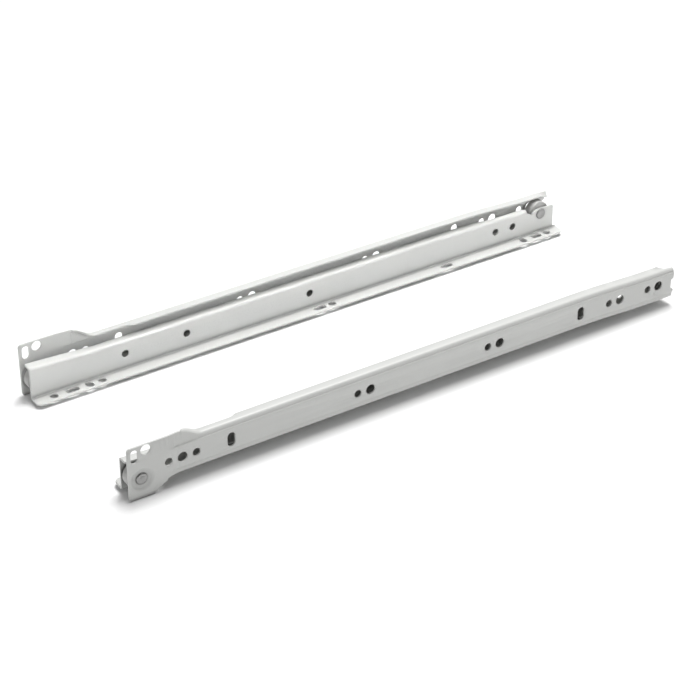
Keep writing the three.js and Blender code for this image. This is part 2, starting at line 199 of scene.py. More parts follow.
def corner(distance, radius):
    """How far a square corner is rounded off at a distance from its end."""
    if distance >= radius:
        return 0.0
    return radius - math.sqrt(radius**2 - (radius - max(distance, 0)) ** 2)


def steps(start, end, count):
    return [mix(start, end, i / count) for i in range(count + 1)]


def corner_places(end, inwards, radius, count=5):
    """Places along the length at which a rounded corner turns by equal angles."""
    angles = steps(0, math.pi / 2, count)
    return [end + inwards * radius * (1 - math.cos(angle)) for angle in angles]


def in_order(*lists):
    """All the places in order, with those that nearly meet taken as one."""
    places = sorted(place for row in lists for place in row)
    kept = places[:1]
    for place in places[1:]:
        if place - kept[-1] > PLACE_GAP:
            kept.append(place)
    return kept


# ---------- modelling tools ----------

STUB = 0.4                      # flat first drawn beyond a bend, before it is moved out
TURNED_SIDES = 64
SHEET_SMOOTHING = 35            # degrees
TURNED_SMOOTHING = 30
SLOT_END_FLAT = 0.01            # flat left in the middle of a slot's round end


def deselect_all():
    if bpy.context.object and bpy.context.object.mode != "OBJECT":
        bpy.ops.object.mode_set(mode="OBJECT")
    bpy.ops.object.select_all(action="DESELECT")


def only(piece):
    """Makes a piece the only one selected."""
    deselect_all()
    piece.select_set(True)
    bpy.context.view_layer.objects.active = piece
    return piece


def edit(piece):
    only(piece)
    bpy.ops.object.mode_set(mode="EDIT")
    bpy.ops.mesh.select_mode(type="VERT")


def leave():
    bpy.ops.object.mode_set(mode="OBJECT")


def pick(test):
    """Selects the points being edited whose place, in millimetres, passes the test."""
    mesh = bmesh.from_edit_mesh(bpy.context.object.data)
    for part in (*mesh.faces, *mesh.edges):
        part.select = False
    found = 0
    for point in mesh.verts:
        point.select = bool(test(*(point.co / MM)))
        found += point.select
    mesh.select_flush(True)
    bmesh.update_edit_mesh(bpy.context.object.data)
    return found


def move(x=0.0, y=0.0, z=0.0):
    bpy.ops.transform.translate(value=Vector((x, y, z)) * MM)


def shift(test, x=0.0, y=0.0, z=0.0):
    """Moves the points that pass the test."""
    if pick(test):
        move(x, y, z)


def extrude(x=0.0, y=0.0, z=0.0):
    bpy.ops.mesh.extrude_region_move(
        TRANSFORM_OT_translate={"value": Vector((x, y, z)) * MM})


def near(a, b, slack=ROW_SLACK):
    return abs(a - b) < slack


def wire(name, points):
    """A row of edges through the points, grown from one corner, left in edit mode."""
    deselect_all()
    bpy.ops.mesh.primitive_plane_add(size=MM, location=(0, 0, 0))
    piece = bpy.context.object
    piece.name = name
    edit(piece)
    bpy.ops.mesh.select_all(action="SELECT")
    bpy.ops.mesh.merge(type="CENTER")
    pick(lambda *place: True)
    move(*points[0])
    for start, end in zip(points, points[1:]):
        step = [b - a for a, b in zip(start, end)]
        bpy.ops.mesh.extrude_vertices_move(
            TRANSFORM_OT_translate={"value": Vector(step) * MM})
    return piece


def swept(name, outline, places):
    """A skin: an outline of (x, z) points carried through the places along the slide."""
    piece = wire(name, [(x, places[0], z) for x, z in outline])
    bpy.ops.mesh.select_all(action="SELECT")
    for start, end in zip(places, places[1:]):
        extrude(y=end - start)
    return piece


def face_towards(direction):
    """Turns the skin being edited so that its faces look along a direction."""
    bpy.ops.mesh.select_all(action="SELECT")
    bpy.ops.mesh.normals_make_consistent(inside=False)
    mesh = bmesh.from_edit_mesh(bpy.context.object.data)
    facing = sum(face.normal.dot(Vector(direction)) * face.calc_area() for face in mesh.faces)
    if facing < 0:
        bpy.ops.mesh.flip_normals()


def arc(centre, radius, start, end, count):
    """Points on an arc in x and z, with its angles in degrees from +x towards +z."""
    return [
        (centre[0] + radius * math.cos(math.radians(angle)),
         centre[1] + radius * math.sin(math.radians(angle)))
        for angle in steps(start, end, count)
    ]


def spun(name, profile, axis, sides=TURNED_SIDES):
    """A turned piece: (radius, x) points taken round an axis along x through (y, z)."""
    y, z = axis
    piece = wire(name, [(x, y, z + radius) for radius, x in profile])
    bpy.ops.mesh.select_all(action="SELECT")
    bpy.ops.mesh.spin(
        steps=sides, angle=math.tau, center=Vector((0, y, z)) * MM, axis=(1, 0, 0))
    bpy.ops.mesh.select_all(action="SELECT")
    bpy.ops.mesh.remove_doubles(threshold=0.0005 * MM)
    bpy.ops.mesh.normals_make_consistent(inside=False)
    leave()
    return piece


def apply_modifier(piece, kind, **settings):
    only(piece)
    modifier = piece.modifiers.new(kind.title(), kind)
    for key, value in settings.items():
        setattr(modifier, key, value)
    bpy.ops.object.modifier_apply(modifier=modifier.name)


def thicken(piece):
    """Gives a skin the sheet's thickness, behind its faces."""
    apply_modifier(
        piece, "SOLIDIFY", thickness=sizes().thickness * MM, offset=-1, use_even_offset=True)


def combine(piece, tool, operation):
    """Cuts a tool from a piece, or joins it on, and takes the tool away."""
    apply_modifier(piece, "BOOLEAN", object=tool, operation=operation, solver="EXACT")
    bpy.data.objects.remove(tool)


def joined(tools):
    deselect_all()
    for tool in tools:
        tool.select_set(True)
    bpy.context.view_layer.objects.active = tools[0]
    bpy.ops.object.join()
    return bpy.context.object


def smooth(piece, angle=SHEET_SMOOTHING):
    only(piece)
    bpy.ops.object.shade_smooth_by_angle(angle=math.radians(angle))


def round_edges(piece, width, segments=2, angle=50):
    """Tidies the cut faces, then rounds every sharp edge."""
    edit(piece)
    bpy.ops.mesh.select_all(action="SELECT")
    bpy.ops.mesh.remove_doubles(threshold=0.002 * MM)
    bpy.ops.mesh.normals_make_consistent(inside=False)
    leave()
    apply_modifier(
        piece, "BEVEL", width=width * MM, segments=segments, limit_method="ANGLE",
        angle_limit=math.radians(angle), use_clamp_overlap=False, harden_normals=False,
        miter_outer="MITER_SHARP")
    smooth(piece)
    apply_modifier(piece, "WEIGHTED_NORMAL", keep_sharp=True, weight=80)


def round_cutter(x, y, z, radius, depth, along="X"):
    """A drill through the sheet."""
    rotation = (0, math.pi / 2, 0) if along == "X" else (0, 0, 0)
    deselect_all()
    bpy.ops.mesh.primitive_cylinder_add(
        vertices=holes().sides, radius=radius * MM, depth=depth * MM,
        location=Vector((x, y, z)) * MM, rotation=rotation)
    bpy.ops.object.transform_apply(location=True, rotation=True, scale=True)
    return bpy.context.object


def slot_cutter(x, y, z, spans, depth, along="X"):
    """A punch with round ends; spans are its two sizes across the sheet."""
    first, second = spans
    deselect_all()
    bpy.ops.mesh.primitive_cube_add(size=MM, location=Vector((x, y, z)) * MM)
    tool = bpy.context.object
    tool.scale = (depth, first, second) if along == "X" else (second, first, depth)
    bpy.ops.object.transform_apply(location=True, rotation=True, scale=True)
    edit(tool)
    mesh = bmesh.from_edit_mesh(tool.data)
    lengthwise, nearly = (0 if along == "X" else 2), 0.9
    for part in (*mesh.faces, *mesh.verts, *mesh.edges):
        part.select = False
    for edge in mesh.edges:
        run = edge.verts[0].co - edge.verts[1].co
        edge.select = abs(run[lengthwise]) > nearly * depth * MM
    mesh.select_flush(True)
    bmesh.update_edit_mesh(tool.data)
    bpy.ops.mesh.select_mode(type="EDGE")
    bpy.ops.mesh.bevel(
        offset=(min(spans) / 2 - SLOT_END_FLAT) * MM, segments=8, affect="EDGES")
    bpy.ops.mesh.select_mode(type="VERT")
    leave()
    return tool


def handed(piece, side):
    """Carries a finished shape from the slide's own place to the left or right wall."""
    only(piece)
    sign = 1 if side == "left" else -1
    piece.scale = (sign, 1, 1)
    piece.location = Vector((sign * WALL_X, FRONT_Y, LINE_Z)) * MM
    bpy.ops.object.transform_apply(location=True, rotation=True, scale=True)
    if side == "right":
        edit(piece)
        bpy.ops.mesh.select_all(action="SELECT")
        bpy.ops.mesh.normals_make_consistent(inside=False)
        leave()


def both_hands(piece, label, node, bodies, material):
    """Copies a finished shape, so that each slide has its own, and hands both over."""
    only(piece)
    bpy.ops.object.duplicate()
    copy = bpy.context.object
    for side, one in (("left", piece), ("right", copy)):
        handed(one, side)
        one.name = f"{side}_{label}"
        one.data.name = one.name
        one.data.materials.clear()
        one.data.materials.append(material)
        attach(one, bodies[side])
        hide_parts(f"{side}_{node}")
    return piece, copy


def own_bodies(name):
    return {side: f"{side}_{name}" for side in ("left", "right")}


CABINET_BODIES = {"left": "cabinet_rails", "right": "cabinet_rails"}


# ---------- finishes ----------


def node_material(name, base, roughness, metallic=0.0):
    """A material with its shader, and the object's own coordinates to lay patterns on."""
    material = bpy.data.materials.new(name)
    material.use_nodes = True
    tree = material.node_tree
    shader = tree.nodes["Principled BSDF"]
    shader.inputs["Metallic"].default_value = metallic
    shader.inputs["Roughness"].default_value = roughness
    shader.inputs["Base Color"].default_value = (*base, 1)
    place = tree.nodes.new("ShaderNodeTexCoord")
    return material, tree, shader, place.outputs["Object"]


def noise(tree, place, scale, detail=3.0, stretch=(1, 1, 1), rough=0.55):
    mapping = tree.nodes.new("ShaderNodeMapping")
    mapping.inputs["Scale"].default_value = stretch
    tree.links.new(place, mapping.inputs["Vector"])
    texture = tree.nodes.new("ShaderNodeTexNoise")
    texture.inputs["Scale"].default_value = scale
    texture.inputs["Detail"].default_value = detail
    texture.inputs["Roughness"].default_value = rough
    tree.links.new(mapping.outputs["Vector"], texture.inputs["Vector"])
    return texture.outputs["Fac"]


def spread(tree, value, low, high, start=0.0, end=1.0):
    """Maps a pattern's range to a range of values."""
    node = tree.nodes.new("ShaderNodeMapRange")
    node.inputs["From Min"].default_value = start
    node.inputs["From Max"].default_value = end
    node.inputs["To Min"].default_value = low
    node.inputs["To Max"].default_value = high
    tree.links.new(value, node.inputs["Value"])
    return node.outputs["Result"]


def tinted(tree, base, share, light, dark):
    """Varies the colour between a darker and a lighter tone of itself."""
    blend = tree.nodes.new("ShaderNodeMix")
    blend.data_type = "RGBA"
    blend.inputs["A"].default_value = (*[c * dark for c in base], 1)
    blend.inputs["B"].default_value = (*[min(1, c * light) for c in base], 1)
    tree.links.new(share, blend.inputs["Factor"])
    return blend


def bumped(tree, shader, height, strength, distance):
    bump = tree.nodes.new("ShaderNodeBump")
    bump.inputs["Strength"].default_value = strength
    bump.inputs["Distance"].default_value = distance
    tree.links.new(height, bump.inputs["Height"])
    tree.links.new(bump.outputs["Normal"], shader.inputs["Normal"])


def corner_shade_factor(tree, reach, darkest):
    """A factor for painted shade: it falls from one in the open to its darkest in narrow corners,
    where shade falls.
    """
    shade_occlusion = tree.nodes.new("ShaderNodeAmbientOcclusion")
    shade_occlusion.samples = 8
    shade_occlusion.inputs["Distance"].default_value = reach
    return spread(tree, shade_occlusion.outputs["AO"], darkest, 1.0, start=0.5, end=0.97)


def powder_coat():
    """Baked powder coat: pale, faintly pebbled, rubbed on edges, with painted shade in narrow
    corners.
    """
    base = finishes().coat
    # The second tone is the grey of the painted shade in narrow corners.
    rubbed_tone, corner_shade_tone = 0.72, 0.35
    material, tree, shader, place = node_material("powder_coat", base, roughness=0.42)
    clouds = noise(tree, place, scale=45, detail=4)
    pebbles = noise(tree, place, scale=1400, detail=2)
    specks = noise(tree, place, scale=900, detail=1)
    tone = tinted(tree, base, clouds, light=1.04, dark=0.95)
    edge = tree.nodes.new("ShaderNodeNewGeometry")
    worn = spread(tree, edge.outputs["Pointiness"], low=0, high=1, start=0.53, end=0.6)
    rubbed = tree.nodes.new("ShaderNodeMath")
    rubbed.operation = "MULTIPLY"
    tree.links.new(worn, rubbed.inputs[0])
    tree.links.new(spread(tree, specks, low=0, high=0.6, start=0.45, end=0.62), rubbed.inputs[1])
    colour_out = tree.nodes.new("ShaderNodeMix")
    colour_out.data_type = "RGBA"
    colour_out.inputs["B"].default_value = (*[c * rubbed_tone for c in base], 1)
    tree.links.new(rubbed.outputs["Value"], colour_out.inputs["Factor"])
    tree.links.new(tone.outputs["Result"], colour_out.inputs["A"])
    # Painted shade: the coat's colour darkens to that grey in narrow corners and creases.
    painted_corner_shade = tree.nodes.new("ShaderNodeMix")
    painted_corner_shade.data_type = "RGBA"
    painted_corner_shade.inputs["A"].default_value = (*[c * corner_shade_tone for c in base], 1)
    tree.links.new(corner_shade_factor(tree, reach=0.003, darkest=0.0), painted_corner_shade.inputs["Factor"])
    tree.links.new(colour_out.outputs["Result"], painted_corner_shade.inputs["B"])
    tree.links.new(painted_corner_shade.outputs["Result"], shader.inputs["Base Color"])
    tree.links.new(spread(tree, clouds, low=0.36, high=0.5), shader.inputs["Roughness"])
    bumped(tree, shader, pebbles, strength=0.22, distance=0.00006)
    shader.inputs["Coat Weight"].default_value = 0.15
    shader.inputs["Coat Roughness"].default_value = 0.3
    return material


def nylon():
    """Moulded nylon: milky, satin, with a faint turned grain on the tread."""
    base = finishes().nylon
    material, tree, shader, place = node_material("moulded_nylon", base, roughness=0.4)
    clouds = noise(tree, place, scale=160, detail=3)
    grain = noise(tree, place, scale=500, detail=3, stretch=(6, 1, 1))
    tone = tinted(tree, base, clouds, light=1.05, dark=0.93)
    tree.links.new(tone.outputs["Result"], shader.inputs["Base Color"])
    tree.links.new(spread(tree, clouds, low=0.32, high=0.48), shader.inputs["Roughness"])
    bumped(tree, shader, grain, strength=0.2, distance=0.00008)
    shader.inputs["Subsurface Weight"].default_value = 0.15
    shader.inputs["Subsurface Radius"].default_value = (0.001, 0.001, 0.001)
    return material


def zinc():
    """Bright zinc plate on formed steel, with fine drawn lines and dull patches."""
    base = finishes().zinc
    material, tree, shader, place = node_material(
        "zinc_plate", base, roughness=0.35, metallic=1.0)
    lines = noise(tree, place, scale=700, detail=4, stretch=(0.3, 1, 1))
    patches = noise(tree, place, scale=260, detail=3)
    tone = tinted(tree, base, patches, light=1.1, dark=0.85)
    tree.links.new(tone.outputs["Result"], shader.inputs["Base Color"])
    tree.links.new(spread(tree, patches, low=0.26, high=0.46), shader.inputs["Roughness"])
    bumped(tree, shader, lines, strength=0.15, distance=0.00005)
    return material


# ---------- cabinet rail ----------

PLATE = {"corner": 2, "foot": (16, 33), "foot_fullness": 2.2}
PLATE_SLOT = {"y": 4.5, "below": 6.1, "spans": (4.5, 8.6)}
PLATE_HOLE = {"y": 11.9, "below": 3.7, "radius": 3.2}
BAND = {"top": 7.9, "bottom": -6.4, "run": 0.5, "start": 23, "full": 36}
BAND_MARGIN = 1.5               # from the band's edge to the next row of points inside it
ROOT_FLAT = 0.2                 # flat left beside a bend where a flange begins
FLANGE = {"front": 5.8, "reach": 7.6, "bottom": 9.4, "jog": (70, 74.5)}
REAR_DROOP = {"run": 9, "reach": 4.6, "tip": 4.4, "bend": 0.6}   # the top flange turns down
TOP_OPENING = (35, 50)          # the top flange widens over this stretch
BOTTOM_OPENING = (25, 38)       # and the bottom flange over this one
DIP = (LENGTH - 75, LENGTH - 15)
NOTCH = {"depth": 2, "half": 3, "flare": 2, "below": 1}
NOTCH_CUTTER = {"x": 0.5, "across": 4}
DISH = {"rim": ROLLER_RADIUS + 0.2, "floor": ROLLER_RADIUS - 2.6, "depth": 1.2}
DISH_LEAD = {"wide": 0.6, "narrow": 0.3, "sunk": 0.02}  # rounds the dish's rim into the plate
DISH_BACK = {"wall": 0.35, "collar": 0.25, "lap": 0.01}
HOLE_PITCHES = 12
PIN_OFFSET = 9
SCREW_PITCHES = (0, 4, 7, 10, 11)
SLOT_PITCHES = (1, 9)
SCREW_SLOT = (5.2, 9.2)
THROUGH = 8                     # length of a drill or punch
BEND_STEPS = 6


def top_lift(y):
    """How far the upper edge stands over the channel's top."""
    left = 1 - ease(y, *TOP_OPENING)
    return (PLATE_TOP - CHANNEL_TOP) * left - corner(y, PLATE["corner"])


def bottom_drop(y):
    """How far the lower edge hangs under the channel's bottom."""
    left = (1 - ramp(y, *PLATE["foot"])) ** PLATE["foot_fullness"]
    return (CHANNEL_BOTTOM - PLATE_BOTTOM) * left - corner(y, PLATE["corner"])


def dip(y):
    """How far the channel has dropped."""
    return sizes().dip * ease(y, *DIP)


def top_reach(y):
    """Where the top flange's edge is, from the wall."""
    root = sizes().band_step + sizes().bend + ROOT_FLAT
    jog = (FLANGE["reach"] - FLANGE["front"]) * ease(y, *FLANGE["jog"])
    full = mix(root, FLANGE["front"], ease(y, *TOP_OPENING)) + jog
    return mix(full, REAR_DROOP["reach"], rear_turn(y))


def rear_turn(y):
    """The share of the top flange's turn down at its rear end."""
    return ramp(y, LENGTH - REAR_DROOP["run"], LENGTH)


def bottom_reach(y):
    """Where the bottom flange's edge is, from the wall."""
    root = sizes().band_step + sizes().bend + ROOT_FLAT
    reach = mix(root, FLANGE["bottom"], math.sqrt(ramp(y, *BOTTOM_OPENING)))
    return reach - corner(LENGTH - y, PLATE["corner"])


def cabinet_places():
    """Every place along the cabinet rail where its outline turns."""
    return in_order(
        corner_places(0, 1, PLATE["corner"]),
        steps(*PLATE["foot"], 14),
        steps(*BOTTOM_OPENING, 9),
        steps(BAND["start"], BAND["full"], 6),
        steps(*TOP_OPENING, 12),
        steps(*FLANGE["jog"], 6),
        steps(*DIP, 14),
        steps(LENGTH - REAR_DROOP["run"], LENGTH, 6),
        corner_places(LENGTH, -1, PLATE["corner"], 4),
    )


def fold_flange(edge_z, up, start, places, reach):
    """Folds a flange off one edge of the web: round the bend, then out to its reach.

    Where the flange begins, its whole outline is drawn together into the edge's one point,
    so that the bend fans out of the flat plate.
    """
    bend, step = sizes().bend, sizes().band_step
    pick(lambda x, s, z: s > start - SLACK and near(z, edge_z))
    turns = steps(0, math.pi / 2, BEND_STEPS)
    for before, after in zip(turns, turns[1:]):
        extrude(x=bend * (math.cos(before) - math.cos(after)),
                z=up * bend * (math.sin(after) - math.sin(before)))
    extrude(x=STUB)
    level = edge_z + up * bend
    root = step + bend + STUB
    for y in places:
        shift(lambda x, s, z: near(s, y) and near(z, level) and near(x, root),
              x=reach(y) - root)
    gathered = pick(lambda x, s, z: near(s, start) and up * (z - edge_z) > -SLACK)
    if gathered:
        bpy.ops.mesh.merge(type="CENTER")
        mesh = bmesh.from_edit_mesh(bpy.context.object.data)
        for point in mesh.verts:
            if point.select:
                point.co = Vector((step, start, level)) * MM
        bmesh.update_edit_mesh(bpy.context.object.data)


def cabinet_rail_shape():
    """The cabinet rail: a channel with a flat front plate, a wall band and stamped holes."""
    bend, step = sizes().bend, sizes().band_step
    places = cabinet_places()
    top, bottom = CHANNEL_TOP - bend, CHANNEL_BOTTOM + bend
    outline = [
        (step, top), (step, BAND["top"] + BAND["run"]),
        (0, BAND["top"]), (0, BAND["top"] - BAND_MARGIN), (0, 0),
        (0, BAND["bottom"] + BAND_MARGIN), (0, BAND["bottom"]),
        (step, BAND["bottom"] - BAND["run"]), (step, bottom),
    ]
    piece = swept("cabinet_rail_shape", outline, places)
    shift(lambda x, s, z: s < TOP_OPENING[0] - SLACK and near(z, top), z=bend)
    shift(lambda x, s, z: s < BOTTOM_OPENING[0] - SLACK and near(z, bottom), z=-bend)
    for start, edge_z, up, reach in (
            (TOP_OPENING[0], top, 1, top_reach),
            (BOTTOM_OPENING[0], bottom, -1, bottom_reach)):
        fold_flange(edge_z, up, start, [y for y in places if y > start - SLACK], reach)

    for y in places:
        lift, drop = top_lift(y), bottom_drop(y)
        if lift:
            shift(lambda x, s, z: near(s, y) and z > top - SLACK, z=lift)
        if drop:
            shift(lambda x, s, z: near(s, y) and z < bottom + SLACK, z=-drop)
        fade = step * ease(y, BAND["start"], BAND["full"])
        if fade < step:
            shift(lambda x, s, z: near(s, y) and x > step - ROW_SLACK, x=fade - step)

    for y in places:
        turn = rear_turn(y)
        if turn > 0:
            shift(lambda x, s, z: near(s, y) and z > top + SLACK,
                  z=-REAR_DROOP["bend"] * turn)
            shift(lambda x, s, z: near(s, y) and near(x, top_reach(y)) and z > top + SLACK,
                  z=-(REAR_DROOP["tip"] - REAR_DROOP["bend"]) * turn)
    for before, after in zip(places, places[1:]):
        drop = dip(after) - dip(before)
        if drop > 0:
            shift(lambda x, s, z: s > after - SLACK, z=-drop)
    face_towards((-1, 0, 0))
    leave()
    thicken(piece)
    add_roller_seat(piece)
    combine(piece, joined(cabinet_cutters()), "DIFFERENCE")
    round_edges(piece, sizes().edge)
    level_top(piece)
    return piece


def level_top(piece):
    """Brings any mitre that stands over the plate's top edge back down to it."""
    over = max(point.co.z for point in piece.data.vertices) / MM - PLATE_TOP
    if over > 0:
        edit(piece)
        too_high = PLATE_TOP + over / 10
        shift(lambda x, s, z: z > too_high, z=-over)
        leave()


def seat_profile(offset, beyond):
    """The pressed dish's slope as (radius, x) points, rounded where it meets the plate."""
    rim, floor, depth = DISH["rim"] + offset, DISH["floor"] + offset, DISH["depth"]
    slope = [(mix(rim, floor, share), depth * (1 - math.cos(math.pi * share)) / 2)
             for share in steps(0, 1, 8)]
    lead = [(rim + DISH_LEAD["wide"], -beyond), (rim + DISH_LEAD["narrow"], -DISH_LEAD["sunk"])]
    return lead + slope[1:]


def add_roller_seat(piece):
    """Presses the front roller's dish through the plate; its rivet hole is cut with the other
    holes.
    """
    thick = sizes().thickness
    back = [(radius, x + thick) for radius, x in seat_profile(DISH_BACK["wall"], 0)][2:]
    rim = back[0][0] + DISH_BACK["collar"]
    base = [(0, thick / 2), (rim, thick / 2), (rim, thick + DISH_BACK["lap"])]
    boss = spun("seat_back", base + back + [(0, DISH["depth"] + thick)], FRONT_AXLE)
    combine(piece, boss, "UNION")
    past = 1
    front = [(0, -past)] + seat_profile(0, past) + [(0, DISH["depth"])]
    combine(piece, spun("seat_front", front, FRONT_AXLE), "DIFFERENCE")


def end_notch():
    """The shallow notch in the rear edge of the web."""
    middle = (BAND["top"] + BAND["bottom"]) / 2 - NOTCH["below"] - sizes().dip
    half = NOTCH["half"] + NOTCH["flare"]
    deselect_all()
    place = Vector((NOTCH_CUTTER["x"], LENGTH, middle))
    bpy.ops.mesh.primitive_cube_add(size=MM, location=place * MM)
    tool = bpy.context.object
    tool.scale = (NOTCH_CUTTER["across"], 2 * NOTCH["depth"], 2 * half)
    bpy.ops.object.transform_apply(location=True, rotation=True, scale=True)
    edit(tool)
    pick(lambda x, y, z: y < LENGTH and z > middle)
    move(z=-NOTCH["flare"])
    pick(lambda x, y, z: y < LENGTH and z < middle)
    move(z=NOTCH["flare"])
    leave()
    return tool


def cabinet_cutters():
    """Drills and punches for the cabinet rail's screw holes, pin holes and slots."""
    drawn = holes()
    place = [drawn.first + pitch * drawn.pitch for pitch in range(HOLE_PITCHES)]
    tools = [round_cutter(0, place[i], 0, drawn.screw, THROUGH) for i in SCREW_PITCHES]
    tools += [
        round_cutter(0, place[i] - PIN_OFFSET, 0, drawn.pin, THROUGH) for i in SCREW_PITCHES
    ]
    tools.append(round_cutter(0, drawn.first + PIN_OFFSET, 0, drawn.pin, THROUGH))
    tools += [slot_cutter(0, place[i], 0, SCREW_SLOT, THROUGH) for i in SLOT_PITCHES]
    tools.append(slot_cutter(
        0, PLATE_SLOT["y"], PLATE_TOP - PLATE_SLOT["below"], PLATE_SLOT["spans"], THROUGH))
    tools.append(round_cutter(
        0, PLATE_HOLE["y"], PLATE_TOP - PLATE_HOLE["below"], PLATE_HOLE["radius"], THROUGH))
    tools.append(round_cutter(0, *FRONT_AXLE, AXLE_RADIUS + RIVET_GAP, 2 * THROUGH))
    tools.append(end_notch())
    return tools


# ---------- drawer rail ----------

LIP = {"front": 1, "edge": 5.0, "edge_rear": 7.8, "corner": 1, "rear_run": 4,
       "end": REAR_AXLE[0] - ROLLER_RADIUS - 4, "rise_end": 45}
SCALLOP = (LIP["end"] - 43.5, LIP["end"] - 26.5)
LIP_TOP = FRONT_AXLE[1] + ROLLER_RADIUS + ROLLING_GAP + SHEET
TAB = {"notch": LIP["end"] + 4.5, "start": LIP["end"] + 8, "top": REAR_AXLE[1] + 4.1,
       "back": REAR_AXLE[0] + 11.1, "notch_depth": 3, "corner": 2}
SHELF = {"corner": 4, "slot_reach": 4.4}
DRAWER_HOLE = {"radius": 2.45, "up": 11.3}
DRAWER_HOLES = (65.5, 109, LENGTH / 2, LIP["end"] - 26.5, LIP["end"] - 12)
SQUARE_HOLE, LONG_SLOT, WIDE_SLOT = (5.2, 5.2), (9, 4.4), (5, 6.6)
SHELF_HOLES = (
    (13.8, SQUARE_HOLE), (26.2, LONG_SLOT), (37.8, WIDE_SLOT), (46.5, SQUARE_HOLE),
    (LENGTH / 2 + 4.8, LONG_SLOT), (LENGTH / 2 + 14.4, SQUARE_HOLE),
    (SHELF_BACK - 96, LONG_SLOT), (SHELF_BACK - 31.4, WIDE_SLOT),
    (SHELF_BACK - 20.4, LONG_SLOT), (SHELF_BACK - 10.9, SQUARE_HOLE),
)
DRAWER_MID = -6.0               # height of the row of points along the web's middle


def lip_rise(y):
    """How far the lip stands over its own level, towards the front."""
    return sizes().rise * (1 - ramp(y, LIP["front"], LIP["rise_end"]))


def lip_reach(y):
    """Where the lip's edge is, from the wall."""
    reach = mix(LIP["edge"], LIP["edge_rear"], ease(y, *SCALLOP))
    root = sizes().installed - sizes().bend - ROOT_FLAT
    ending = ramp(y, LIP["end"] - LIP["rear_run"], LIP["end"]) ** 2
    return mix(reach, root, ending) + corner(y - LIP["front"], LIP["corner"])


def tab_top(y):
    """The web's upper edge behind the lip: down into the notch, then up over the rivet."""
    low = TAB["top"] - TAB["notch_depth"]
    if y <= TAB["notch"]:
        return mix(LIP_TOP - sizes().bend, low, ramp(y, LIP["end"], TAB["notch"]))
    climb = math.sin(math.pi / 2 * ramp(y, TAB["notch"], TAB["start"]))
    return mix(low, TAB["top"], climb) - corner(TAB["back"] - y, TAB["corner"])


def drawer_rail_shape():
    """The drawer rail: a lip over the front roller, a web, and a shelf under the drawer."""
    bend, thick, face = sizes().bend, sizes().thickness, sizes().installed
    inner = bend - thick
    shelf_top = SHELF_BOTTOM + thick
    lip_root = face - bend
    web_top = LIP_TOP - bend
    places = in_order(
        corner_places(LIP["front"], 1, LIP["corner"], 3),
        corner_places(LIP["front"], 1, SHELF["corner"]),
        [LIP["rise_end"]],
        steps(*SCALLOP, 10),
        steps(LIP["end"] - LIP["rear_run"], LIP["end"], 5),
        steps(TAB["notch"], TAB["start"], 6),
        corner_places(TAB["back"], -1, TAB["corner"]),
        corner_places(SHELF_BACK, -1, SHELF["corner"]),
    )
    outline = [(lip_root - STUB, LIP_TOP)]
    outline += arc((lip_root, web_top), bend, 90, 0, BEND_STEPS)
    outline += [(face, DRAWER_MID)]
    outline += arc((face + inner, shelf_top + inner), inner, 180, 270, BEND_STEPS)
    outline += [(SHELF_TIP, shelf_top)]
    piece = swept("drawer_rail_shape", outline, places)

    pick(lambda x, s, z: near(x, lip_root - STUB))
    extrude(x=LIP["edge"] - lip_root + STUB)
    for y in places:
        shift(lambda x, s, z: near(s, y) and near(x, LIP["edge"]),
              x=lip_reach(y) - LIP["edge"])
        lift = lip_rise(y)
        if lift > 0:
            shift(lambda x, s, z: near(s, y) and z > web_top - SLACK, z=lift)
        cut = (corner(y - LIP["front"], SHELF["corner"])
               + corner(SHELF_BACK - y, SHELF["corner"]))
        if cut > 0:
            shift(lambda x, s, z: near(s, y) and near(x, SHELF_TIP), x=-cut)
    cut_behind_lip(places, web_top, shelf_top + inner)
    face_towards((1, 0, 0))
    leave()
    thicken(piece)
    combine(piece, joined(drawer_cutters()), "DIFFERENCE")
    round_edges(piece, sizes().edge)
    return piece


def delete_faces(test):
    """Takes out the faces whose middle passes the test."""
    bpy.ops.mesh.select_mode(type="FACE")
    mesh = bmesh.from_edit_mesh(bpy.context.object.data)
    for part in (*mesh.verts, *mesh.edges, *mesh.faces):
        part.select = False
    for face in mesh.faces:
        face.select = bool(test(*(face.calc_center_median() / MM)))
    bmesh.update_edit_mesh(bpy.context.object.data)
    bpy.ops.mesh.delete(type="FACE")
    bpy.ops.mesh.select_mode(type="VERT")


def cut_behind_lip(places, web_top, web_low):
    """Takes the lip away behind its end, and shapes the tab that carries the rear roller."""
    face = sizes().installed
    delete_faces(lambda x, s, z: s > LIP["end"] and z > web_top)
    delete_faces(lambda x, s, z: s > TAB["back"] and x < face + ROW_SLACK / 2 and z > web_low)
    for y in places:
        if LIP["end"] + SLACK < y < TAB["back"] + SLACK:
            shift(lambda x, s, z: near(s, y) and near(z, web_top), z=tab_top(y) - web_top)


def drawer_cutters():
    """Drills and punches for the drawer rail's screw holes and the shelf's slots."""
    face = sizes().installed
    tools = [
        round_cutter(
            face, y, SHELF_BOTTOM + DRAWER_HOLE["up"], DRAWER_HOLE["radius"], THROUGH)
        for y in DRAWER_HOLES
    ]
    tools.append(round_cutter(face, *REAR_AXLE, AXLE_RADIUS + RIVET_GAP, THROUGH))
    tools += [
        slot_cutter(face + SHELF["slot_reach"], y, SHELF_BOTTOM, spans, THROUGH, along="Z")
        for y, spans in SHELF_HOLES
    ]
    return tools


# ---------- rollers and rivets ----------
# Profiles are (radius, distance from the sheet) points.

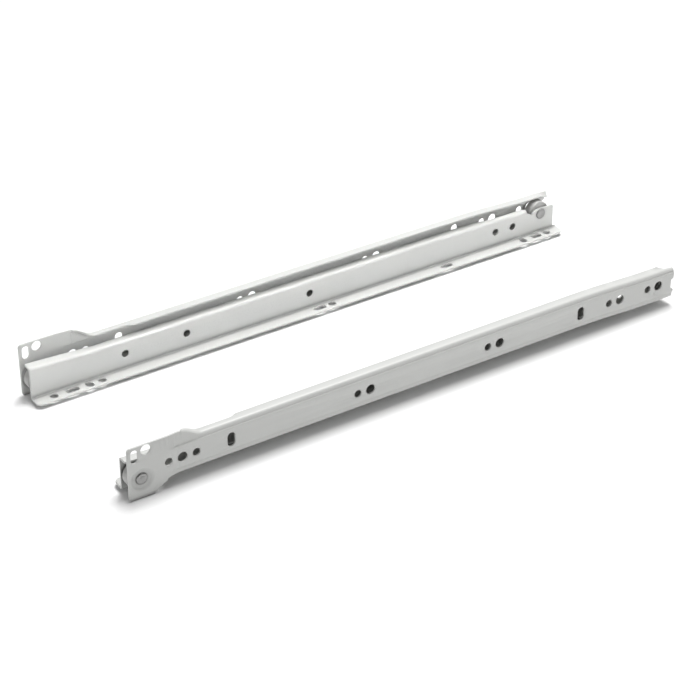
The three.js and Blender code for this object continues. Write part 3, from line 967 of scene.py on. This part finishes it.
ROLLER_EDGE = 0.6               # rounding of the tread's two edges
ROLLER_CROWN = 0.05
ROLLER_BOSS = {"rim": ((4.1, 0), (4.2, 0.1), (4.3, 0.4)), "height": 0.4}
ROLLER_GROOVE = {"outside": (6.6, 6.3), "inside": (4.9, 4.7), "depth": 0.25}
ROLLER_RECESS = {"radius": 4.5, "edge": 0.1, "depth": 1.2}
CRATER = ((0, 0.35), (0.9, 0.33), (1.5, 0.2), (1.9, 0.04), (2.2, 0))
ROLLED_HEAD = {"flat": 2.6, "round": 1.0, "rise": 0.5, "radius": 3.6, "height": 0.8}
DOMED_HEAD = {"radius": 3.9, "round": 0.6, "side": 0.4, "rise": 0.5}
DOME_DIMPLE = ((1.6, 0.9), (1.2, 0.75), (0, 0.7))


def roller_shape(name, axis, span, inwards):
    """A moulded wheel: a boss at the sheet, a crowned tread and a recess for the rivet."""
    start = span[0] if inwards > 0 else span[1]
    width = span[1] - span[0]
    radius, bore, edge = ROLLER_RADIUS, AXLE_RADIUS + RUNNING_GAP, ROLLER_EDGE
    boss = ROLLER_BOSS["height"]
    tread = [(radius - ROLLER_CROWN * (2 * share - 1) ** 2, mix(boss + edge, width - edge, share))
             for share in steps(0, 1, 6)]
    shoulder = [(radius - edge + edge * math.sin(a), boss + edge - edge * math.cos(a))
                for a in steps(0, math.pi / 2, 4)][:-1]
    rim = [(radius - edge + edge * math.cos(a), width - edge + edge * math.sin(a))
           for a in steps(0, math.pi / 2, 4)][1:]
    profile = [(bore, 0), *ROLLER_BOSS["rim"]] + shoulder + tread + rim
    (outer, floor_outer), (floor_inner, inner) = ROLLER_GROOVE["outside"], ROLLER_GROOVE["inside"]
    groove, recess = width - ROLLER_GROOVE["depth"], width - ROLLER_RECESS["depth"]
    profile += [
        (outer, width), (floor_outer, groove), (floor_inner, groove), (inner, width),
        (ROLLER_RECESS["radius"], width - ROLLER_RECESS["edge"]),
        (ROLLER_RECESS["radius"], recess), (bore, recess), (bore, 0),
    ]
    piece = spun(name, [(r, start + inwards * a) for r, a in profile], axis)
    smooth(piece, TURNED_SMOOTHING)
    return piece


def axle_shape(name, axis, roller_span, inwards):
    """A shouldered rivet: a domed head in the wheel, a shank, and a head on the sheet."""
    start = roller_span[0] if inwards > 0 else roller_span[1]
    width = roller_span[1] - roller_span[0]
    seat = width - ROLLER_RECESS["depth"] + RUNNING_GAP
    sheet_far = -BOSS_GAP - sizes().thickness - RIVET_GAP
    end = sheet_far - ROLLED_HEAD["height"]
    rolled, domed = ROLLED_HEAD, DOMED_HEAD
    profile = [(radius, end + depth) for radius, depth in CRATER]
    profile += [(rolled["flat"] + rolled["round"] * math.sin(a),
                 end + rolled["rise"] - rolled["rise"] * math.cos(a))
                for a in steps(0, math.pi / 2, 5)]
    profile += [(rolled["radius"], sheet_far), (AXLE_RADIUS, sheet_far),
                (AXLE_RADIUS, seat), (domed["radius"], seat)]
    profile += [(domed["radius"] - domed["round"] * (1 - math.cos(a)),
                 seat + domed["side"] + domed["rise"] * math.sin(a))
                for a in steps(0, math.pi / 2, 5)]
    profile += [(radius, seat + height) for radius, height in DOME_DIMPLE]
    piece = spun(name, [(r, start + inwards * a) for r, a in profile], axis)
    smooth(piece, TURNED_SMOOTHING)
    return piece


# ---------- stage ----------

CAMERA_PLACE = (927.49, -630.23, 675.88)     # millimetres
CAMERA_TURN = 56.176                         # degrees round from looking along +Y
CAMERA_DROP = 31.092                         # degrees below level
CAMERA_LENS = 107.84
CAMERA_CLIP = (0.01, 20)                     # metres
SENSOR = 36.0
AHEAD = 1000                                 # millimetres, to the point the camera looks at
FLOOR_SIZE = 8                               # metres
FLOOR_GAP = 0.0003                           # metres under the lowest edge
WORLD_STRENGTH = 0.3
MIDDLE = (0, 0, 0)
# name, place and target in millimetres, width in millimetres, power in watts
SOFTBOXES = (
    ("overhead_light", (-150, 250, 1150), MIDDLE, 750, 19),
    ("front_light", (300, -1300, 500), MIDDLE, 700, 2),
    ("wall_side_light", (1300, 300, 300), MIDDLE, 700, 1),
)


def aim(obj, place, target):
    """Stands an object at a place, looking at a target, both in millimetres."""
    obj.location = Vector(place) * MM
    obj.rotation_euler = (Vector(target) - Vector(place)).to_track_quat("-Z", "Y").to_euler()


def softbox(name, place, target, width, power):
    light = bpy.data.lights.new(name, "AREA")
    light.size = width * MM
    light.energy = power
    lamp = bpy.data.objects.new(name, light)
    bpy.context.scene.collection.objects.link(lamp)
    aim(lamp, place, target)
    return lamp


def grid_light(name, place, target, size, spread_degrees, power):
    """A long softbox behind a grid, which lights only what it is aimed at."""
    lamp = softbox(name, place, target, size[0], power)
    light = lamp.data
    light.shape = "RECTANGLE"
    light.size_y = size[1] * MM
    light.spread = math.radians(spread_degrees)
    return lamp


def camera():
    lens = bpy.data.cameras.new("camera")
    lens.lens, lens.sensor_width = CAMERA_LENS, SENSOR
    lens.clip_start, lens.clip_end = CAMERA_CLIP
    eye = bpy.data.objects.new("camera", lens)
    bpy.context.scene.collection.objects.link(eye)
    turn, drop = math.radians(CAMERA_TURN), math.radians(CAMERA_DROP)
    forward = Vector((
        -math.sin(turn) * math.cos(drop), math.cos(turn) * math.cos(drop), -math.sin(drop)))
    aim(eye, CAMERA_PLACE, Vector(CAMERA_PLACE) + forward * AHEAD)
    bpy.context.scene.camera = eye


def floor():
    """A wide pale floor, just under the front plates' lowest edge."""
    deselect_all()
    bpy.ops.mesh.primitive_plane_add(
        size=FLOOR_SIZE, location=(0, 0, CAD_BOX[0].z - FLOOR_GAP))
    ground = bpy.context.object
    ground.name = "floor"
    material, tree, shader, place = node_material(
        "pale_floor", finishes().floor, roughness=0.7)
    clouds = noise(tree, place, scale=6)
    tone = tinted(tree, finishes().floor, clouds, light=1.01, dark=0.99)
    tree.links.new(tone.outputs["Result"], shader.inputs["Base Color"])
    ground.data.materials.append(material)


def surroundings(strength):
    world = bpy.data.worlds.new("studio")
    world.use_nodes = True
    background = world.node_tree.nodes["Background"]
    background.inputs["Color"].default_value = (1, 1, 1, 1)
    background.inputs["Strength"].default_value = strength
    bpy.context.scene.world = world


# ---------- operators ----------


class SLIDE_OT_cabinet_rails(Operator):
    """Model the left and right cabinet rails"""

    bl_idname = "slide.cabinet_rails"
    bl_label = "Cabinet Rails"

    def execute(self, context):
        both_hands(cabinet_rail_shape(), "cabinet_rail", "cabinet_member",
                   CABINET_BODIES, bpy.data.materials["powder_coat"])
        return {"FINISHED"}


class SLIDE_OT_drawer_rails(Operator):
    """Model the left and right drawer rails"""

    bl_idname = "slide.drawer_rails"
    bl_label = "Drawer Rails"

    def execute(self, context):
        both_hands(drawer_rail_shape(), "drawer_rail", "drawer_member",
                   own_bodies("drawer_rail"), bpy.data.materials["powder_coat"])
        return {"FINISHED"}


class SLIDE_OT_rollers(Operator):
    """Model the four nylon rollers"""

    bl_idname = "slide.rollers"
    bl_label = "Rollers"

    def execute(self, context):
        plastic = bpy.data.materials["moulded_nylon"]
        both_hands(roller_shape("front_wheel_shape", FRONT_AXLE, FRONT_ROLLER_SPAN, 1),
                   "front_wheel", "front_roller", own_bodies("front_wheel"), plastic)
        both_hands(roller_shape("rear_wheel_shape", REAR_AXLE, REAR_ROLLER_SPAN, -1),
                   "rear_wheel", "rear_roller", own_bodies("rear_wheel"), plastic)
        return {"FINISHED"}


class SLIDE_OT_rivets(Operator):
    """Model the shouldered rivets that the rollers turn on"""

    bl_idname = "slide.rivets"
    bl_label = "Rivets"

    def execute(self, context):
        plate = bpy.data.materials["zinc_plate"]
        both_hands(axle_shape("front_rivet_shape", FRONT_AXLE, FRONT_ROLLER_SPAN, 1),
                   "front_rivet", "front_axle", CABINET_BODIES, plate)
        both_hands(axle_shape("rear_rivet_shape", REAR_AXLE, REAR_ROLLER_SPAN, -1),
                   "rear_rivet", "rear_axle", own_bodies("drawer_rail"), plate)
        return {"FINISHED"}


class SLIDE_OT_finishes(Operator):
    """Make the powder coat, nylon and zinc finishes"""

    bl_idname = "slide.finishes"
    bl_label = "Finishes"

    def execute(self, context):
        powder_coat()
        nylon()
        zinc()
        return {"FINISHED"}


class SLIDE_OT_stage(Operator):
    """Set the floor, lights and camera"""

    bl_idname = "slide.stage"
    bl_label = "Stage"

    def execute(self, context):
        floor()
        camera()
        context.scene.view_settings.view_transform = "Standard"
        surroundings(WORLD_STRENGTH)
        for light in SOFTBOXES:
            softbox(*light)
        grid_light("rear_slide_light", place=(540, 0, 367), target=(-67, 0, 17),
                   size=(460, 50), spread_degrees=6, power=0.026)
        return {"FINISHED"}


STEPS = (
    SLIDE_OT_finishes, SLIDE_OT_cabinet_rails, SLIDE_OT_drawer_rails,
    SLIDE_OT_rollers, SLIDE_OT_rivets, SLIDE_OT_stage,
)


class SLIDE_PT_panel(Panel):
    """The modelling steps and the sizes they use."""

    bl_label = "Drawer Slides"
    bl_space_type = "VIEW_3D"
    bl_region_type = "UI"
    bl_category = "Drawer Slides"

    def draw(self, context):
        layout = self.layout
        for group in (sizes(), holes(), finishes()):
            box = layout.box()
            for name in group.__annotations__:
                box.prop(group, name)
        for step in STEPS:
            layout.operator(step.bl_idname)


CLASSES = (SheetSizes, HoleSizes, Finishes, *STEPS, SLIDE_PT_panel)


def register():
    for one in CLASSES:
        bpy.utils.register_class(one)
    bpy.types.Scene.slide_sheet = PointerProperty(type=SheetSizes)
    bpy.types.Scene.slide_holes = PointerProperty(type=HoleSizes)
    bpy.types.Scene.slide_finishes = PointerProperty(type=Finishes)


def unregister():
    for name in ("slide_finishes", "slide_holes", "slide_sheet"):
        delattr(bpy.types.Scene, name)
    for one in reversed(CLASSES):
        bpy.utils.unregister_class(one)


def main():
    register()
    bpy.ops.slide.finishes()
    bpy.ops.slide.cabinet_rails()
    bpy.ops.slide.drawer_rails()
    bpy.ops.slide.rollers()
    bpy.ops.slide.rivets()
    bpy.ops.slide.stage()
    deselect_all()


if __name__ == "__main__":
    main()
